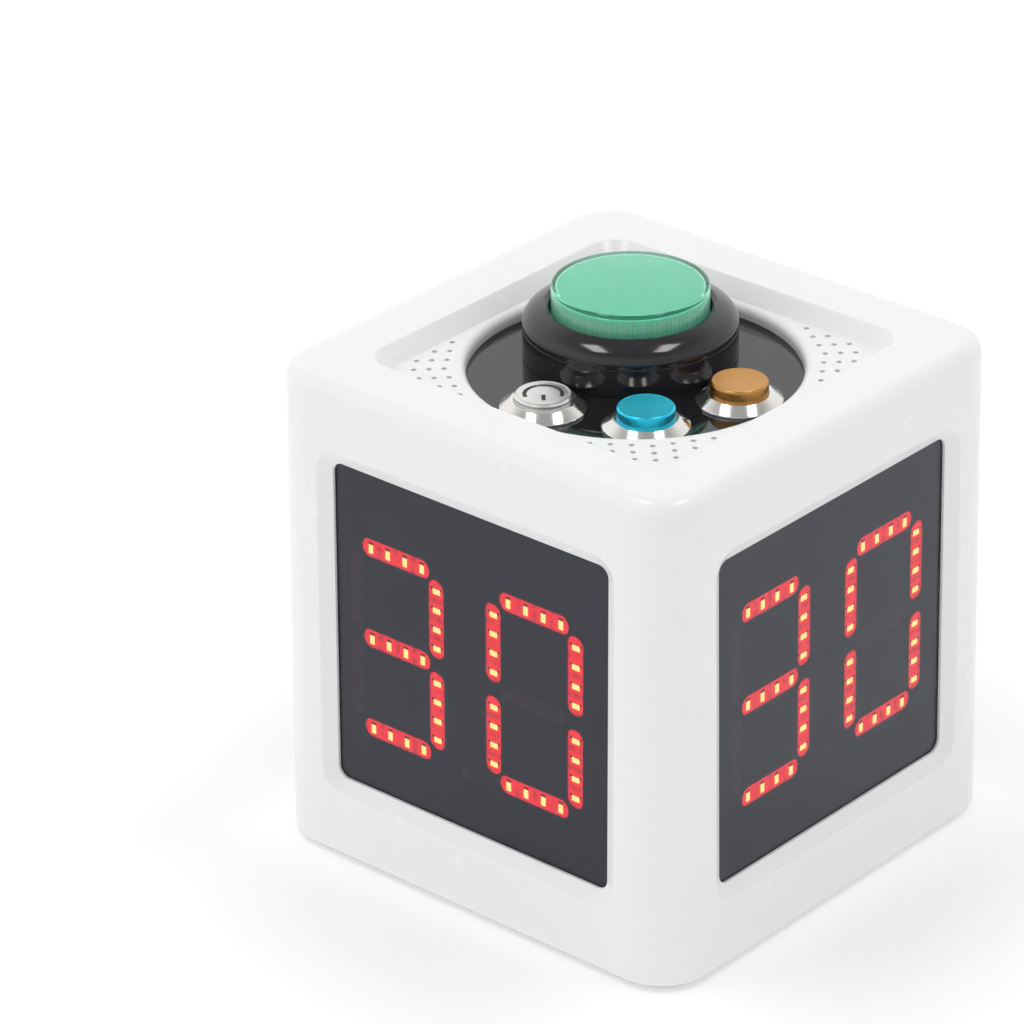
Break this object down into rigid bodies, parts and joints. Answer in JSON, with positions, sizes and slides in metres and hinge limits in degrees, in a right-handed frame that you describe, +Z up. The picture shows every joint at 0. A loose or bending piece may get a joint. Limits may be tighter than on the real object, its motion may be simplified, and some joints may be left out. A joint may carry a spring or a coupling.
{
  "type": "chess clock",
  "caption": "Cube-shaped game clock with a smoked LED display window on every side and a large push button beside small metal buttons on a round black top panel.",
  "frame": {"origin": "on the table under the middle of the cube, at the underside of the feet", "axes": "+Z up, -Y front, +X right; the large button leans to the back left of the panel and the small buttons to the front right"},
  "size_m": [0.1086, 0.1086, 0.1183],
  "materials": {
    "white_abs": "glossy moulded",
    "smoked_acrylic": "polished",
    "black_matte": "moulded",
    "circuit_board": "solder resist",
    "led": "lit chip",
    "black_gloss": "polished",
    "green_lens": "polished translucent",
    "white_nylon": "moulded",
    "clear_lamp": "clear",
    "red_plastic": "moulded",
    "nickel": "turned, nickel plated",
    "power_steel": "turned, satin",
    "blue_anodised": "anodised satin",
    "orange_anodised": "anodised satin",
    "spring_steel": "drawn wire",
    "steel": "zinc plated",
    "rubber": "matte",
    "battery_wrap": "shrink sleeve"
  },
  "bodies": {
    "root": {"base_plate": "white_abs", "base_screws": "steel", "battery_cell": "battery_wrap", "battery_holder": "black_matte", "blue_button_body": "nickel", "blue_button_nut": "steel", "blue_button_seal": "rubber", "blue_button_spring": "spring_steel", "blue_button_terminals": "black_matte", "board_screws": "steel", "button_lamp": "clear_lamp", "charging_board": "circuit_board", "charging_port": "steel", "display_board_back": "circuit_board", "display_board_front": "circuit_board", "display_board_left": "circuit_board", "display_board_right": "circuit_board", "housing": "white_abs", "lamp_holder": "white_nylon", "large_button_bezel": "black_gloss", "large_button_body": "black_gloss", "large_button_nut": "black_matte", "large_button_spring": "spring_steel", "leds_back": "led", "leds_front": "led", "leds_left": "led", "leds_right": "led", "loudspeaker": "black_matte", "main_board": "circuit_board", "main_board_chips": "black_matte", "microswitch": "black_matte", "orange_button_body": "nickel", "orange_button_nut": "steel", "orange_button_seal": "rubber", "orange_button_spring": "spring_steel", "orange_button_terminals": "black_matte", "panel_clamp_ring": "black_matte", "panel_screws": "steel", "power_button_body": "nickel", "power_button_nut": "steel", "power_button_seal": "rubber", "power_button_spring": "spring_steel", "power_button_terminals": "black_matte", "rubber_feet": "rubber", "segment_mask_back": "black_matte", "segment_mask_front": "black_matte", "segment_mask_left": "black_matte", "segment_mask_right": "black_matte", "top_panel": "black_gloss", "window_back": "smoked_acrylic", "window_front": "smoked_acrylic", "window_left": "smoked_acrylic", "window_right": "smoked_acrylic"},
    "green_button": {"large_button_cap": "green_lens", "large_button_legend": "white_nylon", "large_button_plunger": "white_nylon"},
    "power_button": {"power_button_cap": "power_steel"},
    "blue_button": {"blue_button_cap": "blue_anodised"},
    "orange_button": {"orange_button_cap": "orange_anodised"},
    "switch_pin": {"microswitch_pin": "red_plastic"}
  },
  "joints": [
    {"name": "large_button_press", "type": "slide", "parent": "root", "child": "green_button", "axis": [0, 0, -1], "range_m": [0, 0.0035], "stiffness_N_per_m": 250, "springref_m": -0.004, "deforming": ["large_button_spring"]},
    {"name": "power_button_press", "type": "slide", "parent": "root", "child": "power_button", "axis": [0, 0, -1], "range_m": [-0.0012, 0.0003], "stiffness_N_per_m": 600, "deforming": ["power_button_spring"]},
    {"name": "blue_button_press", "type": "slide", "parent": "root", "child": "blue_button", "axis": [0, 0, -1], "range_m": [0, 0.0015], "stiffness_N_per_m": 600, "springref_m": -0.0015, "deforming": ["blue_button_spring"]},
    {"name": "orange_button_press", "type": "slide", "parent": "root", "child": "orange_button", "axis": [0, 0, -1], "range_m": [0, 0.0015], "stiffness_N_per_m": 600, "springref_m": -0.0015, "deforming": ["orange_button_spring"]},
    {"name": "switch_pin_press", "type": "slide", "parent": "root", "child": "switch_pin", "axis": [0, 0, -1], "range_m": [0, 0.0015]}
  ],
  "couplings": [
    {"joint": "switch_pin_press", "follows": "large_button_press", "ratio": 0.4}
  ]
}
